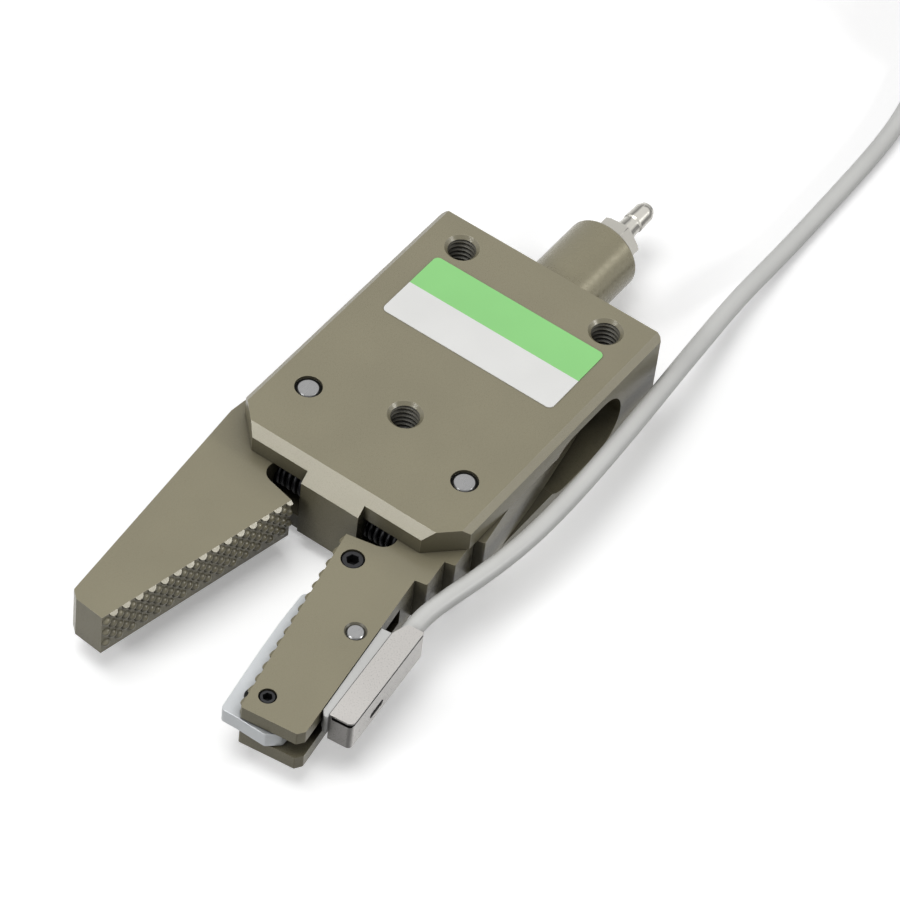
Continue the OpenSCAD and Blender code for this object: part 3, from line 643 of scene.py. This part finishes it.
def thread_ridge(name, place):
    """The thread between root and crest: one tapered section screwed up the hole."""
    deselect_all()
    depth = THREAD_ROOT + THREAD_OVERLAP - THREAD_CREST
    bpy.ops.mesh.primitive_plane_add(size=1, location=(THREAD_CREST + depth / 2, 0, THREAD_PITCH / 2),
                                     rotation=(math.radians(90), 0, 0))
    ridge = bpy.context.object
    ridge.name = name
    ridge.scale = (depth, THREAD_FOOT, 1)
    bpy.ops.object.transform_apply(location=True, rotation=True, scale=True)
    bpy.ops.object.mode_set(mode="EDIT")
    bpy.ops.mesh.delete(type="ONLY_FACE")
    bpy.ops.mesh.select_all(action="DESELECT")
    bpy.ops.object.mode_set(mode="OBJECT")
    for corner in ridge.data.vertices:
        corner.select = corner.co.x < THREAD_CREST + depth / 2
    bpy.ops.object.mode_set(mode="EDIT")
    bpy.ops.transform.resize(value=(1, 1, CREST_TO_FOOT))
    bpy.ops.object.mode_set(mode="OBJECT")
    screw_up(ridge, "Z", THREAD_PITCH, THREAD_TURNS, 36)
    ridge.data.transform(Matrix.Translation(place + Vector((0, 0, THREAD_START))))
    close_tube(ridge)
    smooth_rounds(ridge, 25)
    # The darker olive is painted shade in the hole.
    paint(ridge, shaded_olive)
    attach(ridge, "base")


# ---- Jaw springs ----

SPRING_WIRE = 0.8 * MM
SPRING_MIDDLE_RADIUS = 2.0 * MM
SPRING_START_X = 4.8 * MM
SPRING_LENGTH = 8.4 * MM
SPRING_OPEN_TURNS = 5
SPRING_END_PITCH = 0.82 * MM
SPRING_OPEN_PITCH = (SPRING_LENGTH - SPRING_WIRE - 2 * SPRING_END_PITCH) / SPRING_OPEN_TURNS
SPRING_Y = 3.2 * MM - BODY_HALF_LENGTH
SPRING_Z = 9.4 * MM
SPRING_RUNS = ((SPRING_END_PITCH, 1), (SPRING_OPEN_PITCH, SPRING_OPEN_TURNS), (SPRING_END_PITCH, 1))


def jaw_spring(name, side, source):
    """A compression spring between the web and a jaw's neck: open turns between two closed ones."""
    start = SPRING_WIRE / 2 + (SPRING_START_X if side > 0 else -SPRING_START_X - SPRING_LENGTH)
    runs = []
    for pitch, turns in SPRING_RUNS:
        deselect_all()
        bpy.ops.mesh.primitive_circle_add(vertices=12, radius=SPRING_WIRE / 2,
                                          location=(0, SPRING_MIDDLE_RADIUS, 0))
        run = bpy.context.object
        bpy.ops.object.transform_apply(location=True)
        screw_up(run, "X", pitch, turns, 24)
        run.data.transform(Matrix.Translation((start, SPRING_Y, SPRING_Z)))
        start += pitch * turns
        runs.append(run)
    deselect_all()
    for run in runs:
        run.select_set(True)
    spring = runs[0]
    bpy.context.view_layer.objects.active = spring
    bpy.ops.object.join()
    spring.name = name
    close_tube(spring)
    paint(spring, black_oxide)
    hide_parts(source)
    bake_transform(spring)


def lever_torsion_spring():
    """The lever's spring: a merged copy of the CAD spring in spring steel."""
    spring = merged_copy("lever_torsion_spring", "lever_spring")
    smooth_rounds(spring, 40)
    paint(spring, spring_steel)
    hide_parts("lever_spring")
    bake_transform(spring)


NODE_FINISHES = {
    "body": olive_anodised, "cylinder_barrel": barrel_anodised, "left_jaw": olive_anodised,
    "right_jaw": olive_anodised, "label": label_film, "rod_bush": bronze, "fitting_gasket": gasket_nylon,
    "barb_fitting": nickel, "plunger": ground_steel, "piston": turned_aluminium, "piston_seal": seal_rubber,
    "left_pivot_pin": ground_steel, "right_pivot_pin": ground_steel, "left_cam_pin": ground_steel,
    "right_cam_pin": ground_steel, "lever_pin": ground_steel, "left_jaw_spring": black_oxide,
    "right_jaw_spring": black_oxide, "lever_stop_screw": black_oxide, "spring_clamp_screw": black_oxide,
    "lever_spring": spring_steel, "sensing_lever": lever_plate, "sensor_pad": white_pad,
    "sensor_core": sensor_resin, "sensor_housing": nickel_sheet, "sensor_cable_lead": cable_sheath,
    "sensor_cable": cable_sheath, "cable_coil": cable_sheath, "cable_tie": tie_nylon,
    "cable_wires": wire_black}
for name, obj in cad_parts.items():
    paint(obj, NODE_FINISHES[name])

PIN_RING_RADIUS = 2.3 * MM
PIVOT_PINS = [Vector((x * MM, 13.6 * MM - BODY_HALF_LENGTH)) for x in (-16, 16)]
LEVER_PIN = centre_of("lever_pin").xy
LEVER_PIN_RING_RADIUS = 1.95 * MM
PIN_RING_DEPTH = 0.7 * MM
BODY_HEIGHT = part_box("body")[1].z
JAW_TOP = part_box("right_jaw")[1].z
SHEET_GAP_TOP = 13.4 * MM
SHEET_GAP_BOTTOMS = (13.28 * MM, 13.0 * MM)
SHEET_GAP_WIDENING = 0.3 * MM
SHEET_GAP_LOW = min(SHEET_GAP_BOTTOMS) - SHEET_GAP_WIDENING
SHEET_GAP_HIGH = SHEET_GAP_TOP + 0.05 * MM
BODY_MATERIALS = [olive_anodised, olive_edge_wear_and_highlight]


def in_ring(place, pins, radius):
    """Whether a place lies in the narrow gap round one of the pins."""
    return any((place.xy - pin).length < radius for pin in pins)


body_block = merged_copy("body_block", "body")
paint(body_block, *BODY_MATERIALS)
break_edges(body_block, 0.15 * MM)
for place in hole_places():
    open_hole_to_root(body_block, place)
smooth_rounds(body_block)
flatten_faces(body_block)
# Painted shadow in the narrow gap round each pivot pin, at the top and the bottom.
paint_gap_shade(body_block, lambda c: not PIN_RING_DEPTH < c.z < BODY_HEIGHT - PIN_RING_DEPTH
       and in_ring(c, PIVOT_PINS, PIN_RING_RADIUS), gap_shadow)
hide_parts("body")
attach(body_block, "base")
for name, place in zip(("front_hole_thread", "left_hole_thread", "right_hole_thread"), hole_places()):
    thread_ridge(name, place)

eased_copy("plain_jaw", "left_jaw", "left_jaw_body", 0.1 * MM, BODY_MATERIALS, 35)
sensor_jaw = eased_copy("sensor_jaw", "right_jaw", "right_jaw_body", 0.1 * MM, BODY_MATERIALS, 35)
eased_copy("lever_plate", "sensing_lever", "lever_body", 0.15 * MM, [lever_plate])
# Painted shade on the countersink round the lever pin.
paint_gap_shade(sensor_jaw, lambda c: c.z > JAW_TOP - PIN_RING_DEPTH
       and in_ring(c, [LEVER_PIN], LEVER_PIN_RING_RADIUS), shaded_olive)
sensor_sheet = eased_copy("sensor_sheet", "sensor_housing", "right_jaw_body", 0.06 * MM,
                          [nickel_sheet], reshape=widen_sheet_gaps)
# Painted shadow inside the sheet's slit and seam.
paint_gap_shade(sensor_sheet, lambda c: SHEET_GAP_LOW < c.z < SHEET_GAP_HIGH, gap_shadow)
eased_copy("spacer_pad", "sensor_pad", "right_jaw_body", 0.12 * MM, [white_pad])
eased_copy("hose_fitting", "barb_fitting", "base", 0.08 * MM, [nickel], 40)
eased_copy("barrel", "cylinder_barrel", "base", 0.15 * MM, [barrel_anodised], 40)
lever_torsion_spring()
jaw_spring("left_compression_spring", -1, "left_jaw_spring")
jaw_spring("right_compression_spring", 1, "right_jaw_spring")


# ---- Floor and light ----

FLOOR_TONE_FOR_LIGHT = (0.06, 0.06, 0.06)
FLOOR_TONE_SEEN = (0.9, 0.9, 0.9)
FLOOR_GLOW = 0.32
WORLD_FOR_LIGHT = 0.09
WORLD_SEEN = 1.0


def seen_directly(tree):
    """1 for the camera, and for what mirrors and clear pieces show."""
    path = node(tree, "ShaderNodeLightPath")
    first = math_node(tree, "MAXIMUM", path.outputs["Is Camera Ray"], path.outputs["Is Transmission Ray"])
    return math_node(tree, "MAXIMUM", first, path.outputs["Is Glossy Ray"])


def make_floor():
    """A floor that looks white but throws little light back up, and that keeps shadows."""
    deselect_all()
    bpy.ops.mesh.primitive_plane_add(size=6, location=(0, 0, -0.2 * MM))
    floor = bpy.context.object
    floor.name = "studio_floor"
    material, tree, shader = new_material("studio_floor", 0.9, Specular_IOR_Level=0.1)
    seen = seen_directly(tree)
    tree.links.new(mix_colours(tree, seen, FLOOR_TONE_FOR_LIGHT, FLOOR_TONE_SEEN),
                   shader.inputs["Base Color"])
    shader.inputs["Emission Color"].default_value = (1, 1, 1, 1)
    tree.links.new(math_node(tree, "MULTIPLY", seen, FLOOR_GLOW), shader.inputs["Emission Strength"])
    paint(floor, material)


def make_world():
    """Plain white to the camera and to mirrors, and soft light elsewhere."""
    world = bpy.data.worlds.new("studio")
    world.use_nodes = True
    bpy.context.scene.world = world
    tree = world.node_tree
    background = tree.nodes["Background"]
    background.inputs["Color"].default_value = (1, 1, 1, 1)
    level = spread(tree, seen_directly(tree), 0, 1, WORLD_FOR_LIGHT, WORLD_SEEN)
    tree.links.new(level, background.inputs["Strength"])


def area_light(name, place, aim, size, energy):
    data = bpy.data.lights.new(name, "AREA")
    data.shape = "RECTANGLE"
    data.size, data.size_y = size
    data.energy = energy
    lamp = bpy.data.objects.new(name, data)
    bpy.context.scene.collection.objects.link(lamp)
    lamp.location = place
    lamp.rotation_euler = (Vector(aim) - Vector(place)).to_track_quat("-Z", "Y").to_euler()


make_floor()
make_world()
area_light("overhead_softbox", (-0.15, -0.2, 1.2), (0, 0, 0), (0.9, 0.7), 9.2)
area_light("front_strip", (-0.33, -0.76, 0.55), (0, -0.03, 0), (0.32, 0.2), 2.2)
area_light("right_softbox", (0.85, 0.26, 0.445), (0, -0.03, 0), (0.2, 0.15), 2.5)
area_light("rear_right_strip", (0.70, 0.62, 0.42), (0, 0.05, 0), (0.26, 0.26), 0.45)
area_light("left_fill", (-0.9, -0.4, 0.45), (0, -0.05, 0), (0.4, 0.4), 0.5)
